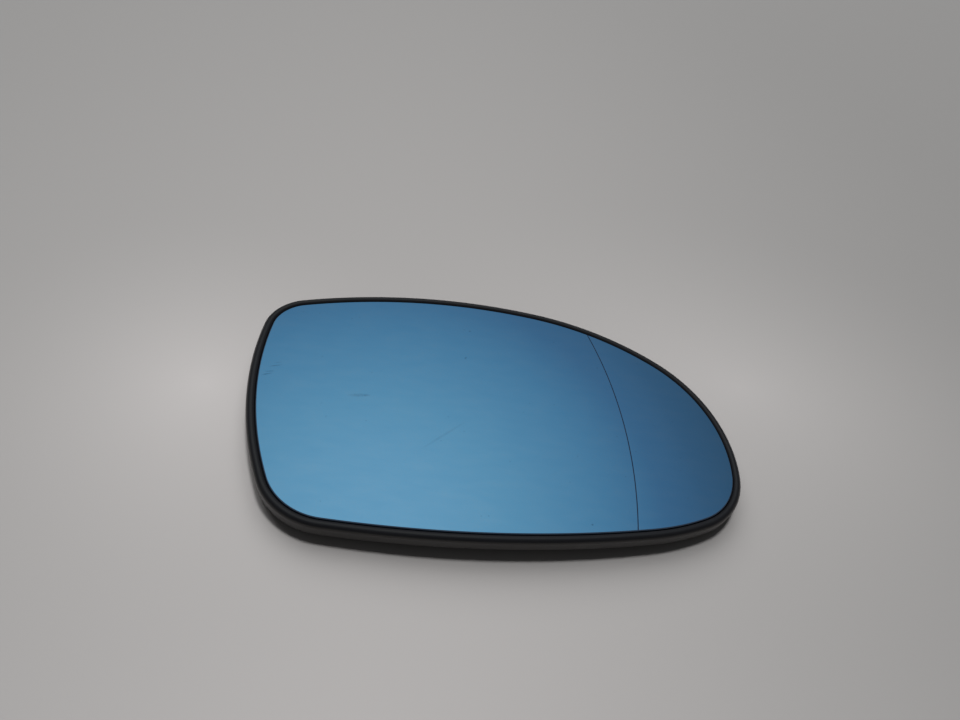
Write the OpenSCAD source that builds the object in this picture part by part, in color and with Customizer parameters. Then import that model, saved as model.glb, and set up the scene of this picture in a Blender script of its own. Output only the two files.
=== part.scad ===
// Door mirror glass for the right-hand side of a car: a convex glass, stuck by its heating
// foil into a moulded carrier that snaps onto the mirror's adjuster.
// The glass faces +Z, its outer end points along +X and the car's top is +Y. The origin is
// the centre of the collar's end face, on which the part rests.

/* [Glass] */
// Width of the glass, from its inner end to its outer end
glass_w = 184; // [172:1:196]
// Height of the glass
glass_h = 111.5; // [105:0.5:118]
// Thickness of the glass
glass_t = 2; // [1.6:0.1:3]
// Radius of the main zone, which is part of a sphere
main_r = 1400; // [1000:50:2000]
// Radius that the outer zone tightens to at the outer end of the glass
outer_r = 450; // [300:50:900]
// Distance of the line between the zones from the outer end of the glass
line_from_end = 41; // [33:1:49]
// Height of the line's crown above the middle of the glass
line_crown_y = -24; // [-30:1:-16]
// Radius of that line in plan
line_bow_r = 225; // [180:5:300]
// Width of that line
line_w = 0.4; // [0.3:0.05:0.6]
// Depth of that line
line_depth = 0.15; // [0.1:0.05:0.3]
// Chamfer ground along both edges of the glass
edge_chamfer = 0.3; // [0.15:0.05:0.5]

/* [Outline] */
// Radius of the shoulder, between the outer end and the top edge
shoulder_r = 118; // [106:1:130]
// Radius of the inner top corner
inner_top_r = 15; // [12:0.5:19]
// Radius of the inner bottom corner
inner_bottom_r = 24; // [20:0.5:28]
// Radius of the heel, between the bottom edge and the outer bottom corner
heel_r = 92; // [80:1:104]
// Radius of the outer bottom corner
outer_bottom_r = 27; // [23:0.5:31]
// Direction that the edge faces where the outer end begins
outer_end_from = -5; // [-8:1:-2]
// Direction that the edge faces where the shoulder begins
shoulder_from = 57; // [55:1:59]
// Direction that the edge faces where the top edge begins
top_from = 83; // [81:1:85]
// Direction that the edge faces where the inner top corner begins
inner_top_from = 106; // [104:1:108]
// Direction that the edge faces where the inner end begins
inner_end_from = 173; // [171:1:175]
// Direction that the edge faces where the inner bottom corner begins
inner_bottom_from = 203; // [201:1:205]
// Direction that the edge faces where the bottom edge begins
bottom_from = 266; // [264:1:268]
// Direction that the edge faces where the heel begins
heel_from = 283; // [281:1:285]
// Direction that the edge faces where the outer bottom corner begins
outer_bottom_from = 297; // [295:1:299]
// Middle of the glass, right of the collar's axis
middle_x = 0; // [-6:1:6]
// Middle of the glass, above the collar's axis
middle_y = 0; // [-4:1:4]

/* [Heating foil] */
// Thickness of the foil with its two layers of adhesive
foil_t = 0.4; // [0.3:0.05:0.8]
// Distance of the foil's edge from the edge of the glass
foil_inset = 2.5; // [1.5:0.5:4]
// Width of a terminal blade
blade_w = 6.3; // [4.8:0.1:7.8]
// Thickness of the terminal strip
blade_t = 0.8; // [0.6:0.1:1]
// Length of a terminal blade below its foot
blade_l = 8; // [7:0.5:9]
// Length of a terminal's foot along the foil
foot_l = 8; // [6:0.5:10]
// Hole through a terminal blade that its socket latches in
blade_hole_d = 1.7; // [1.2:0.1:2]
// Taper at the corners of a terminal blade's tip
blade_tip = 1.2; // [0.8:0.1:1.8]
// Distance of the terminals from the collar's axis
terminal_r = 37; // [36:0.5:38]

/* [Carrier rim] */
// Width of the rim around the glass, seen from the front
rim_w = 3.5; // [3:0.1:5]
// Depth of the rim below the front of the glass
rim_depth = 5.6; // [5:0.1:8]
// Height of the bead's crest above the front of the glass
bead_rise = 0.4; // [0.1:0.1:0.8]
// Clearance between the edge of the glass and the rim
glass_gap = 0.2; // [0.1:0.05:0.4]
// Taper of the rim's outer wall, from the bead to its foot
rim_draft = 0.5; // [0.2:0.1:0.8]
// Thickness of the rim at its foot
skirt_t = 1.8; // [1.4:0.1:2.2]
// Rounding of the foot's outer edge
foot_round = 0.4; // [0.2:0.1:0.6]

/* [Carrier back] */
// Thickness of the plate behind the foil
plate_t = 2; // [1.5:0.1:3]
// Distance from the back of the plate to the collar's end face
stand_h = 8; // [7:0.5:12]
// Number of ribs that run from the collar to the rim
rib_count = 12; // [8:2:16]
// Thickness of the ribs
rib_t = 1.4; // [1:0.1:2]
// Height of the ribs at the collar
rib_high = 2.5; // [1.5:0.5:3]
// Height of the ribs from where they have fallen, out to the rim
rib_low = 1; // [0.6:0.1:1.1]
// Distance from the collar's axis at which the ribs have fallen to that height
rib_fall_r = 52; // [50:1:54]
// Radius of the round rib that ties the others
ring_rib_r = 46; // [45:0.5:48]
// Clearance around a terminal in its window
window_gap = 1.2; // [0.8:0.1:1.6]

/* [Collar] */
// Inner radius of the collar, which takes the adjuster's disc
collar_r = 26; // [22:0.5:28]
// Thickness of the collar's wall
collar_t = 2; // [1.5:0.1:2.5]
// Number of fingers that the slots cut the collar into
finger_count = 8; // [6:2:10]
// Width of the slots
slot_w = 1.6; // [1.2:0.1:2.4]
// Wall left between the slots and the ribs
slot_land = 0.5; // [0.3:0.1:1]
// Reach of the hooks into the collar
hook_reach = 0.9; // [0.5:0.1:1.2]
// Distance of the hooks from the collar's end face
hook_from = 0.3; // [0.2:0.1:0.6]
// Height of the hooks along the collar
hook_h = 2.1; // [1.6:0.1:2.6]
// Height of the flat on a hook's crest
hook_flat = 0.5; // [0.3:0.1:0.8]
// Width of each hook around the collar
hook_w = 9; // [6:0.5:11]
// Depth of the relief cut into the wall around the hooks
relief = 0.5; // [0.3:0.1:0.7]
// Height of that relief from the collar's end face
relief_h = 3; // [2.8:0.1:3.6]

/* [Hidden] */
$fn = 96;
// Straight steps that each arc of the outline is drawn in
arc_steps = 10;
// Straight steps that the bead's half round is drawn in
bead_steps = 8;
// Rings of points across the glass, as shares of the way to its edge
fields = [0.2, 0.4, 0.6, 0.8];
// Overlap of pieces of one moulding where they join
joined = 1;
// Reach of a cut past the surface that it goes through
past = 1;
// Gap left between a terminal's flat foot and the curved foil
solder_gap = 0.05;

middle = [middle_x, middle_y];
// Depths below the front of the glass
foil_below = glass_t;
plate_below = foil_below + foil_t;
back_below = plate_below + plate_t;
front_z = stand_h + back_below;
slot_depth = stand_h - rib_high - slot_land;

// Outline: a closed chain of nine arcs, each tangent to the next
function unit(angle) = [cos(angle), sin(angle)];
starts = [
    outer_end_from, shoulder_from, top_from, inner_top_from,
    inner_end_from, inner_bottom_from, bottom_from, heel_from, outer_bottom_from
];
arcs = len(starts);
ends = [for (i = [1 : arcs]) i < arcs ? starts[i] : starts[0] + 360];

// What an arc of radius 1 adds to the width or height of the half outline from one
// direction to another
function reach(i, from, to, turn) =
    let(
        a = max(starts[i], from),
        b = min(ends[i], to),
        start = [cos(a - turn), sin(a - turn)],
        end = [cos(b - turn), sin(b - turn)]
    )
    b > a ? start.x - end.x : 0;
upper = [for (i = [0 : arcs - 1]) reach(i, 0, 180, 0)];
lower = [for (i = [0 : arcs - 1]) reach(i, -180, 0, -180) + reach(i, 180, 360, 180)];
outer = [for (i = [0 : arcs - 1]) reach(i, -90, 90, -90) + reach(i, 270, 450, -90)];
inner = [for (i = [0 : arcs - 1]) reach(i, 90, 270, 90)];

// The corners' radii are chosen. Those of the outer end, top, inner end and bottom follow
// from the width and height, by repeating until the four agree
function edge_radius(i, span, half, r) = r[i] + (span - half * r) / half[i];
function settle(r, rounds) =
    rounds == 0 ? r :
    settle([
        edge_radius(0, glass_h, outer, r), r[1],
        edge_radius(2, glass_w, upper, r), r[3],
        edge_radius(4, glass_h, inner, r), r[5],
        edge_radius(6, glass_w, lower, r), r[7], r[8]
    ], rounds - 1);
first_guess = [
    glass_h / 2, shoulder_r, glass_w, inner_top_r,
    glass_h, inner_bottom_r, glass_w, heel_r, outer_bottom_r
];
radii = settle(first_guess, 40);

// Centres of the arcs, first from the outer end's centre and then in place
function hop(i) = (radii[i] - radii[i + 1]) * unit(ends[i]);
function chain(i) = i == 0 ? [0, 0] : chain(i - 1) + hop(i - 1);
outer_most = chain(0).x + radii[0];
top_most = chain(2).y + radii[2];
shift = middle + [glass_w / 2 - outer_most, glass_h / 2 - top_most];
centres = [for (i = [0 : arcs - 1]) chain(i) + shift];

// Outline moved out by d, as points with the same number of steps on every arc
function outline(d) = [
    for (i = [0 : arcs - 1], j = [0 : arc_steps - 1])
        centres[i] + (radii[i] + d) * unit(starts[i] + (ends[i] - starts[i]) * j / arc_steps)
];

// Front of the glass: a sphere, then past the line a curvature that grows evenly outwards
line_centre = middle + [glass_w / 2 - line_from_end - line_bow_r, line_crown_y];
tightening = (1 / outer_r - 1 / main_r) / line_from_end;
function past_line(p) = max(0, norm(p - line_centre) - line_bow_r);
function drop(p) = main_r - sqrt(main_r ^ 2 - p * p) + tightening * past_line(p) ^ 3 / 6;
function on_front(p, below) = [p.x, p.y, front_z - below - drop(p)];
function rim_ring(d, below) = [for (p = outline(d)) on_front(p, below)];
function field_ring(share, below) =
    [for (p = outline(0)) on_front(middle + share * (p - middle), below)];
function field_rings(shares, below) = [for (share = shares) field_ring(share, below)];
inward = [for (i = [len(fields) - 1 : -1 : 0]) fields[i]];

// Solid whose skin passes through rings of points, from a middle point on top, out to its
// edge and back in to a middle point below. From ring number "turn" on they run inwards
module skin(rings, top, bottom, turn) {
    n = len(rings[0]);
    last = len(rings) - 1;
    points = concat([top], [for (ring = rings) each ring], [bottom]);
    function at(m, k) = 1 + m * n + k % n;
    faces = concat(
        [for (k = [0 : n - 1]) [0, at(0, k + 1), at(0, k)]],
        [for (m = [0 : last - 1], k = [0 : n - 1]) each
            m < turn
            ? [[at(m, k), at(m, k + 1), at(m + 1, k + 1)], [at(m, k), at(m + 1, k + 1), at(m + 1, k)]]
            : [[at(m, k), at(m, k + 1), at(m + 1, k)], [at(m, k + 1), at(m + 1, k + 1), at(m + 1, k)]]],
        [for (k = [0 : n - 1]) [at(last, k), at(last, k + 1), len(points) - 1]]
    );
    polyhedron(points, faces, convexity = 4);
}

// Places its child at a terminal, at a depth below the front of the glass and square to it. The
// terminals stand in the two bays beside the lowest one, with -Y of the child facing outwards
module at_terminal(side, below) {
    rotate([0, 0, side * 360 / rib_count])
        translate(on_front([0, -terminal_r], below))
            rotate([asin(terminal_r / main_r), 0, 0]) children();
}

module line_cutter() {
    reach_z = 2 * front_z;
    intersection() {
        translate([line_centre.x, line_centre.y, 0]) difference() {
            cylinder(h = reach_z, r = line_bow_r + line_w / 2);
            translate([0, 0, -past]) cylinder(h = reach_z + 2 * past, r = line_bow_r - line_w / 2);
        }
        difference() {
            translate([middle.x, middle.y - glass_h, 0]) cube([glass_w, 2 * glass_h, reach_z]);
            translate([0, 0, front_z - main_r]) sphere(r = main_r - line_depth);
        }
    }
}

module mirror_glass() {
    rings = concat(
        field_rings(fields, 0),
        [
            rim_ring(-foil_inset, 0),
            rim_ring(-edge_chamfer, 0),
            rim_ring(0, edge_chamfer),
            rim_ring(0, glass_t - edge_chamfer),
            rim_ring(-edge_chamfer, glass_t),
            rim_ring(-foil_inset, glass_t)
        ],
        field_rings(inward, glass_t)
    );
    color("steelblue") difference() {
        skin(rings, on_front(middle, 0), on_front(middle, glass_t), len(fields) + 3);
        line_cutter();
    }
}

module heating_foil() {
    rings = concat(
        field_rings(fields, foil_below),
        [rim_ring(-foil_inset, foil_below), rim_ring(-foil_inset, plate_below)],
        field_rings(inward, plate_below)
    );
    color("gainsboro")
        skin(rings, on_front(middle, foil_below), on_front(middle, plate_below), len(fields) + 1);
}

// Plate and rim in one skin: the seat, the bead, the outer wall, the foot and the back
module shell() {
    bead_r = (rim_w - glass_gap) / 2;
    bead_middle = (rim_w + glass_gap) / 2;
    bead_below = bead_r - bead_rise;
    foot_out = rim_w - rim_draft;
    foot_in = foot_out - skirt_t;
    rings = concat(
        field_rings(fields, plate_below),
        [rim_ring(-foil_inset, plate_below), rim_ring(glass_gap, plate_below)],
        [for (i = [0 : bead_steps])
            let(angle = 180 - 180 * i / bead_steps)
            rim_ring(bead_middle + bead_r * cos(angle), bead_below - bead_r * sin(angle))],
        [
            rim_ring(foot_out, rim_depth - foot_round),
            rim_ring(foot_out - foot_round, rim_depth),
            rim_ring(foot_in, rim_depth),
            rim_ring(foot_in, back_below)
        ],
        field_rings(inward, back_below)
    );
    skin(rings, on_front(middle, plate_below), on_front(middle, back_below), len(rings) - len(fields) - 2);
}

// Side view of the ribs, turned about the collar's axis: deep at the collar, low from where
// they have fallen
module rib_envelope() {
    start = collar_r + collar_t / 2;
    far = glass_w / 2 + abs(middle.x) + rim_w;
    function back_z(r) = stand_h - main_r + sqrt(main_r ^ 2 - r ^ 2);
    rotate_extrude() polygon([
        [start, stand_h - rib_high],
        [rib_fall_r, back_z(rib_fall_r) - rib_low],
        [far, back_z(far) - rib_low],
        [far, back_z(far) + joined],
        [start, back_z(start) + joined]
    ]);
}

module ribs() {
    intersection() {
        rib_envelope();
        union() {
            for (i = [0 : rib_count - 1])
                rotate([0, 0, (i + 0.5) * 360 / rib_count])
                    translate([0, -rib_t / 2, 0]) cube([glass_w, rib_t, front_z]);
            difference() {
                cylinder(h = front_z, r = ring_rib_r + rib_t / 2);
                translate([0, 0, -past]) cylinder(h = front_z + 2 * past, r = ring_rib_r - rib_t / 2);
            }
        }
        linear_extrude(front_z) polygon(outline(rim_w - rim_draft - skirt_t + joined));
    }
}

// Round wall that springs over the adjuster's disc, cut into fingers with a hook on each
module collar() {
    difference() {
        cylinder(h = stand_h + joined, r = collar_r + collar_t);
        translate([0, 0, -past]) cylinder(h = stand_h + joined + 2 * past, r = collar_r);
        translate([0, 0, -past]) cylinder(h = relief_h + past, r = collar_r + relief);
        for (i = [0 : finger_count / 2 - 1])
            rotate([0, 0, i * 360 / finger_count])
                translate([-glass_w / 2, -slot_w / 2, -past]) cube([glass_w, slot_w, slot_depth + past]);
    }
    hook_turn = hook_w / collar_r * 180 / PI;
    wall = collar_r + relief;
    root = (wall + collar_r + collar_t) / 2;
    crest = collar_r - hook_reach;
    top = hook_from + hook_h;
    crest_top = top - hook_reach / 2;
    for (i = [0 : finger_count - 1])
        rotate([0, 0, (i + 0.5) * 360 / finger_count - hook_turn / 2])
            rotate_extrude(angle = hook_turn) polygon([
                [root, hook_from],
                [wall, hook_from],
                [crest, crest_top - hook_flat],
                [crest, crest_top],
                [wall, top],
                [root, top]
            ]);
}

module windows() {
    for (side = [-1, 1])
        at_terminal(side, 0)
            translate([-blade_w / 2 - window_gap, -foot_l / 2 - window_gap, -back_below - past])
                cube([blade_w + 2 * window_gap, foot_l + 2 * window_gap, back_below + past]);
}

module carrier() {
    color([0.13, 0.13, 0.14]) difference() {
        union() {
            shell();
            ribs();
            collar();
        }
        windows();
    }
}

// Strip with its foot flat on the foil and its blade bent square to it
module terminal(side) {
    color([0.8, 0.8, 0.78])
        at_terminal(side, plate_below + solder_gap)
            difference() {
                union() {
                    translate([-blade_w / 2, -foot_l / 2, -blade_t]) cube([blade_w, foot_l, blade_t]);
                    translate([0, foot_l / 2 - blade_t, 0]) rotate([-90, 0, 0])
                        linear_extrude(blade_t) polygon([
                            [-blade_w / 2, 0], [blade_w / 2, 0],
                            [blade_w / 2, blade_l - blade_tip], [blade_w / 2 - blade_tip, blade_l],
                            [-blade_w / 2 + blade_tip, blade_l], [-blade_w / 2, blade_l - blade_tip]
                        ]);
                }
                translate([0, 0, -blade_l / 2 - blade_t]) rotate([90, 0, 0])
                    cylinder(h = 2 * foot_l, d = blade_hole_d, center = true);
            }
}

mirror_glass();
heating_foil();
carrier();
terminal(-1);  // terminal_left
terminal(1);  // terminal_right
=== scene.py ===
import logging
import math
from dataclasses import dataclass
from enum import Enum, IntEnum
from typing import Callable, Sequence

import bmesh
import bpy
import numpy as np
from mathutils import Matrix, Vector


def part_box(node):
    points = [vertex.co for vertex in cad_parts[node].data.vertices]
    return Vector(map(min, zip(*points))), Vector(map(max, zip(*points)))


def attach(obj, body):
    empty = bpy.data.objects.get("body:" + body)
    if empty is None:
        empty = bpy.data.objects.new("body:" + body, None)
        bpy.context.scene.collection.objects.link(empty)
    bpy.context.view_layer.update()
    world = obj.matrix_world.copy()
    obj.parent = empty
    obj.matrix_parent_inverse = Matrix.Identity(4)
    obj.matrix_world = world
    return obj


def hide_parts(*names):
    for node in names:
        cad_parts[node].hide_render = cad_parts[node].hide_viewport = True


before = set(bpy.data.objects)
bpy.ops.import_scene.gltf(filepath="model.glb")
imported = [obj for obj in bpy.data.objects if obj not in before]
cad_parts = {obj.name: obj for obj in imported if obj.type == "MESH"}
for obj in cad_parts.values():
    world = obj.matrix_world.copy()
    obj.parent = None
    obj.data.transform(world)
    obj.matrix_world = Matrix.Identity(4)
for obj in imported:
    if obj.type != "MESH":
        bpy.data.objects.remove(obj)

LOG = logging.getLogger("door_mirror_glass")
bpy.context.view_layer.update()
BODY = "root"
MM = 0.001
# Angle between two faces, in degrees, past which their edge is drawn sharp
SHARP_EDGE = 35.0
# Straight steps across a rounded edge
ROUND_STEPS = 2

Faces = list[tuple[int, ...]]
Solid = tuple[np.ndarray, Faces]
Inputs = dict[str | int, object]


def linear(colour: str) -> tuple[float, float, float, float]:
    """Turns an sRGB hex colour into the linear one that shaders take.

    Args:
        colour: Six hex digits after a hash.

    Returns:
        Linear red, green and blue, with an alpha of 1.
    """
    shares = [int(colour[i : i + 2], 16) / 255 for i in (1, 3, 5)]
    channels = [s / 12.92 if s <= 0.04045 else ((s + 0.055) / 1.055) ** 2.4 for s in shares]
    return (*channels, 1.0)


def heading_and_side(turn: float) -> tuple[np.ndarray, np.ndarray]:
    """Gives the unit vectors in plan along a direction, in degrees, and square to it."""
    angle = math.radians(turn)
    return np.array([math.cos(angle), math.sin(angle)]), np.array([-math.sin(angle), math.cos(angle)])


def walls(rows: int, count: int, whole: bool = False) -> Faces:
    """Lists the four-sided faces between rings of points that follow each other.

    Args:
        rows: Number of rings.
        count: Number of points in each ring.
        whole: Whether the last ring meets the first.

    Returns:
        The point numbers of each face.
    """
    faces = []
    for m in range(rows if whole else rows - 1):
        here, there = m * count, (m + 1) % rows * count
        for k in range(count):
            after = (k + 1) % count
            faces.append((here + k, there + k, there + after, here + after))
    return faces


def skin(rings: Sequence[np.ndarray], top: np.ndarray, bottom: np.ndarray) -> Solid:
    """Closes rings of points into a solid's skin, between a middle point above and one below.

    Args:
        rings: Rings with the same number of points, from the middle of the top, out and back in.
        top: Middle point that the first ring closes on.
        bottom: Middle point that the last ring closes on.

    Returns:
        The points, in millimetres, and the faces.
    """
    count = len(rings[0])
    points = np.vstack([top, *rings, bottom])
    last = 1 + (len(rings) - 1) * count
    faces: Faces = []
    for k in range(count):
        after = (k + 1) % count
        faces.append((0, 1 + k, 1 + after))
        for here in range(1, last, count):
            there = here + count
            faces.append((here + k, there + k, there + after, here + after))
        faces.append((last + k, len(points) - 1, last + after))
    return points, faces


def tube(sections: Sequence[np.ndarray]) -> Solid:
    """Lofts a solid through closed sections and caps its two ends.

    Args:
        sections: Sections with the same number of points, in order along the solid.

    Returns:
        The points, in millimetres, and the faces.
    """
    count, last = len(sections[0]), len(sections) - 1
    caps = [tuple(range(count)), tuple(last * count + k for k in reversed(range(count)))]
    return np.vstack(sections), caps + walls(len(sections), count)


def revolve(profile: np.ndarray, first: float, last: float, steps: int) -> Solid:
    """Turns a profile of radii and heights about the collar's axis, all round or part of the way.

    Args:
        profile: Radius and height of each point, in millimetres.
        first: Direction at which the solid starts, in degrees.
        last: Direction at which it ends, 360 past the start for a whole ring.
        steps: Straight steps that the turn is drawn in.

    Returns:
        The points, in millimetres, and the faces.
    """
    radius, height = profile.T
    angles = np.radians(np.linspace(first, last, steps + 1))
    sections = [np.c_[radius * np.cos(a), radius * np.sin(a), height] for a in angles]
    if math.isclose(last - first, 360):
        return np.vstack(sections[:-1]), walls(steps, len(profile), whole=True)
    return tube(sections)


def several(solids: Sequence[Solid]) -> Solid:
    """Puts solids that stay clear of each other into one mesh.

    Args:
        solids: Points and faces of each solid.

    Returns:
        The points and faces of them all.
    """
    points, faces, start = [], [], 0
    for solid_points, solid_faces in solids:
        points.append(solid_points)
        faces.extend(tuple(start + i for i in face) for face in solid_faces)
        start += len(solid_points)
    return np.vstack(points), faces


def make_object(
    name: str, points: np.ndarray, faces: Faces, groups: Sequence[int] | None = None
) -> bpy.types.Object:
    """Makes an object from points in millimetres, with its faces turned outwards.

    Args:
        name: Name of the piece.
        points: Points, in millimetres.
        faces: Point numbers of each face.
        groups: Number of each face's material, if there are several.

    Returns:
        The new object, in the scene.
    """
    mesh = bpy.data.meshes.new(name)
    mesh.from_pydata([tuple(p * MM) for p in points], [], faces)
    if groups is not None:
        mesh.polygons.foreach_set("material_index", list(groups))
    work = bmesh.new()
    work.from_mesh(mesh)
    bmesh.ops.recalc_face_normals(work, faces=work.faces)
    work.to_mesh(mesh)
    work.free()
    piece = bpy.data.objects.new(name, mesh)
    bpy.context.scene.collection.objects.link(piece)
    return piece


class Join(Enum):
    """Ways in which one solid is joined to another."""

    ADD = "UNION"
    CUT = "DIFFERENCE"


def settle_modifiers(piece: bpy.types.Object) -> None:
    """Replaces a piece's mesh with what its modifiers make of it.

    Args:
        piece: Piece that is changed.
    """
    shaped = piece.evaluated_get(bpy.context.evaluated_depsgraph_get())
    mesh, old = bpy.data.meshes.new_from_object(shaped), piece.data
    piece.modifiers.clear()
    piece.data = mesh
    bpy.data.meshes.remove(old)


def combine(piece: bpy.types.Object, tool: bpy.types.Object, how: Join) -> None:
    """Adds a closed solid to a piece or cuts it out, and deletes the solid.

    Args:
        piece: Piece that is changed.
        tool: Solid that is added or cut out.
        how: Whether it is added or cut out.
    """
    modifier = piece.modifiers.new("combine", "BOOLEAN")
    modifier.operation = how.value
    modifier.solver = "MANIFOLD"
    modifier.object = tool
    settle_modifiers(piece)
    piece.data.materials.clear()
    bpy.data.objects.remove(tool)


def round_edges(piece: bpy.types.Object, width: float) -> None:
    """Rounds a piece's sharp edges.

    Args:
        piece: Piece that is changed.
        width: Width of the rounding, in millimetres.
    """
    modifier = piece.modifiers.new("rounding", "BEVEL")
    modifier.width = width * MM
    modifier.segments = ROUND_STEPS
    modifier.limit_method = "ANGLE"
    modifier.angle_limit = math.radians(SHARP_EDGE)
    settle_modifiers(piece)


def dress(piece: bpy.types.Object, materials: Sequence[bpy.types.Material], slot: str, *nodes: str) -> None:
    """Shades and colours a piece, rides it on the part's body and hides the construction nodes that it
    stands for.

    Args:
        piece: Finished piece.
        materials: Its materials, in the order of its faces' numbers.
        slot: Slot in the record for its finish; not used.
        nodes: Construction nodes that it stands for.
    """
    for material in materials:
        piece.data.materials.append(material)
    piece.data.shade_smooth()
    piece.data.set_sharp_from_angle(angle=math.radians(SHARP_EDGE))
    # Large faces set the shading, so that the small ones along a cut leave no smear
    modifier = piece.modifiers.new("even_shading", "WEIGHTED_NORMAL")
    modifier.keep_sharp = True
    settle_modifiers(piece)
    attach(piece, BODY)
    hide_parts(*nodes)
    LOG.info("%s: %d faces, stands for %s", piece.name, len(piece.data.polygons), ", ".join(nodes))


@dataclass(frozen=True)
class Outline:
    """Edge of the glass in plan: a closed chain of nine arcs, each tangent to the next.

    A place on the chain is given by the direction that the edge faces there, in degrees.
    Lengths are in millimetres.
    """

    width: float
    height: float
    shoulder_r: float = 118.0
    inner_top_r: float = 15.0
    inner_bottom_r: float = 24.0
    heel_r: float = 92.0
    outer_bottom_r: float = 27.0
    starts: tuple[float, ...] = (-5.0, 57.0, 83.0, 106.0, 173.0, 203.0, 266.0, 283.0, 297.0)
    # Rounds in which the four edges' radii settle
    rounds: int = 40
    # Steps between points, along the edge and in degrees, and the turn that counts as none
    longest_step: float = 3.0
    widest_step: float = 3.0
    no_turn: float = 0.01

    def ends(self) -> tuple[float, ...]:
        """Directions at which the arcs end."""
        return (*self.starts[1:], self.starts[0] + 360)

    def reach(self, first: float, last: float, turn: float) -> np.ndarray:
        """Finds what each arc, with a radius of 1, adds to a side's length.

        Args:
            first: Direction at which that side starts.
            last: Direction at which it ends.
            turn: Direction that the length is measured along.

        Returns:
            One length for each arc.
        """
        a = np.maximum(self.starts, first)
        b = np.minimum(self.ends(), last)
        gain = np.cos(np.radians(a - turn)) - np.cos(np.radians(b - turn))
        return np.where(b > a, gain, 0.0)

    def radii(self) -> np.ndarray:
        """Works the four edges' radii out from the corners' radii, the width and the height.

        Returns:
            The radii of the nine arcs.
        """
        sides = {
            0: (self.height, self.reach(-90, 90, -90) + self.reach(270, 450, -90)),
            2: (self.width, self.reach(0, 180, 0)),
            4: (self.height, self.reach(90, 270, 90)),
            6: (self.width, self.reach(-180, 0, -180) + self.reach(180, 360, 180)),
        }
        radii = np.array([
            self.height / 2, self.shoulder_r, self.width, self.inner_top_r,
            self.height, self.inner_bottom_r, self.width, self.heel_r, self.outer_bottom_r,
        ])
        for _ in range(self.rounds):
            before = radii.copy()
            for i, (span, half) in sides.items():
                radii[i] = before[i] + (span - half @ before) / half[i]
        return radii

    def centres(self, radii: np.ndarray) -> np.ndarray:
        """Places the arcs' centres so that the outline's box is centred on the collar's axis.

        Args:
            radii: Radii of the nine arcs.

        Returns:
            The nine centres.
        """
        ends = np.radians(self.ends())
        hops = (radii - np.roll(radii, -1))[:, None] * np.c_[np.cos(ends), np.sin(ends)]
        chain = np.vstack([[0.0, 0.0], np.cumsum(hops, axis=0)[:-1]])
        outer_most = chain[0, 0] + radii[0]
        top_most = chain[2, 1] + radii[2]
        return chain + [self.width / 2 - outer_most, self.height / 2 - top_most]

    def directions(self, first: float = 0.0, last: float = 360.0) -> np.ndarray:
        """Lists the directions of the points between two places on the outline.

        Args:
            first: Direction of the first point.
            last: Direction of the last point.

        Returns:
            The directions, with both ends.
        """
        radii = self.radii()
        found = [first]
        for turn in (-360, 0, 360):
            for start, end, radius in zip(self.starts, self.ends(), radii):
                a, b = max(start + turn, first), min(end + turn, last)
                if b - a > self.no_turn:
                    step = min(self.widest_step, math.degrees(self.longest_step / radius))
                    found.extend(np.linspace(a, b, math.ceil((b - a) / step) + 1)[1:])
        return np.array(found)

    def at(self, directions: Sequence[float], offset: float) -> np.ndarray:
        """Finds the outline's points, moved out by an offset.

        Args:
            directions: Direction that the edge faces at each point.
            offset: Distance outside the edge of the glass, or inside it if negative.

        Returns:
            Their places in plan.
        """
        radii = self.radii()
        turned = (np.asarray(directions, float) - self.starts[0]) % 360 + self.starts[0]
        arc = np.searchsorted(self.starts, turned, side="right") - 1
        angles = np.radians(turned)
        unit = np.c_[np.cos(angles), np.sin(angles)]
        return self.centres(radii)[arc] + (radii[arc] + offset)[:, None] * unit

    def distance(self, start: np.ndarray, heading: np.ndarray, offset: float) -> float:
        """Measures how far it is from a point inside to the outline.

        Args:
            start: Point in plan.
            heading: Unit vector in plan.
            offset: Distance of the outline that is met outside the edge of the glass.

        Returns:
            The distance.
        """
        ring = self.at(self.directions()[:-1], offset)
        side = np.array([-heading[1], heading[0]])
        along, across = (ring - start) @ heading, (ring - start) @ side
        after = np.roll(across, -1)
        for k in np.nonzero((across <= 0) & (after > 0))[0]:
            share = across[k] / (across[k] - after[k])
            return float(along[k] + share * (np.roll(along, -1)[k] - along[k]))
        raise ValueError("the heading never meets the outline")


@dataclass(frozen=True)
class ConvexFront:
    """Front of the glass: part of a sphere that tightens past the line between its zones.

    Lengths are in millimetres.
    """

    crown_z: float
    width: float
    main_r: float = 1400.0
    outer_r: float = 450.0
    line_from_end: float = 41.0
    line_crown_y: float = -24.0
    line_bow_r: float = 225.0

    def line_centre(self) -> np.ndarray:
        """Centre, in plan, of the bow that the line follows."""
        return np.array([self.width / 2 - self.line_from_end - self.line_bow_r, self.line_crown_y])

    def drop(self, plan: np.ndarray) -> np.ndarray:
        """Finds how far the front lies below its crown.

        Args:
            plan: Places in plan.

        Returns:
            One depth for each place.
        """
        tightening = (1 / self.outer_r - 1 / self.main_r) / self.line_from_end
        from_centre = np.linalg.norm(plan - self.line_centre(), axis=-1)
        past = np.maximum(0.0, from_centre - self.line_bow_r)
        sphere = self.main_r - np.sqrt(self.main_r**2 - (plan**2).sum(axis=-1))
        # The curvature grows evenly past the line, so the depth goes by a cube over six
        return sphere + tightening * past**3 / 6

    def place(self, plan: np.ndarray, below: float) -> np.ndarray:
        """Gives the points on the front, or at a depth below it, that have these places in plan."""
        plan = np.atleast_2d(plan)
        return np.c_[plan, self.crown_z - below - self.drop(plan)]


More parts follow.
